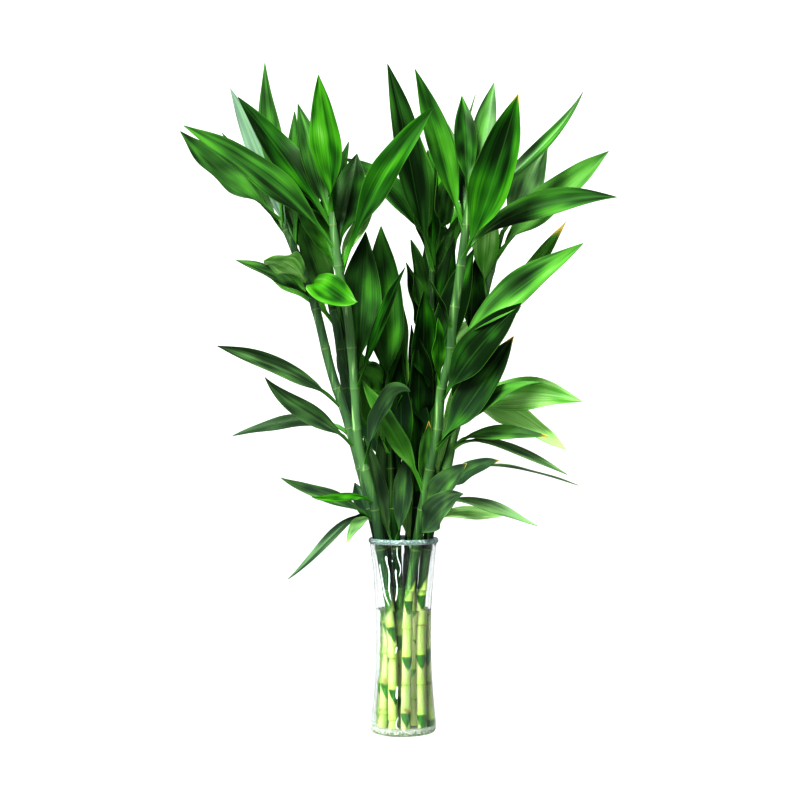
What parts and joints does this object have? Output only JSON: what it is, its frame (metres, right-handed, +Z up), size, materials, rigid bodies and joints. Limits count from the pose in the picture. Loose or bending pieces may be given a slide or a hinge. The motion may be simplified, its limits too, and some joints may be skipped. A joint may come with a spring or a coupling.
{
  "type": "lucky bamboo in glass vase",
  "caption": "Leafy lucky bamboo stalks standing in a clear waisted glass vase, partly filled with water; pale ringed canes below, long pointed green leaves above.",
  "frame": {"origin": "middle of the vase's foot, on the surface it stands on", "axes": "+Z up the vase's axis; the plant's best side faces -Y and +X is to the right as seen from there"},
  "size_m": [0.5455, 0.3355, 0.842],
  "materials": {
    "glass": "polished",
    "water": "polished",
    "cane": "satin",
    "leaf": "satin"
  },
  "bodies": {
    "root": {"vase": "glass", "water": "water", "cane_left": "cane", "cane_front_left": "cane", "cane_centre_left": "cane", "cane_front_right": "cane", "cane_centre_right": "cane", "cane_front_right_low": "cane", "cane_right": "cane", "cane_back_left": "cane", "cane_back_right": "cane", "leafy_stem_left": "leaf", "leafy_stem_front_left": "leaf", "leafy_stem_centre_left": "leaf", "leafy_stem_front_right": "leaf", "leafy_stem_centre_right": "leaf", "leafy_stem_front_right_low": "leaf", "leafy_stem_right": "leaf", "leafy_stem_back_left": "leaf", "leafy_stem_back_right": "leaf"}
  },
  "joints": []
}
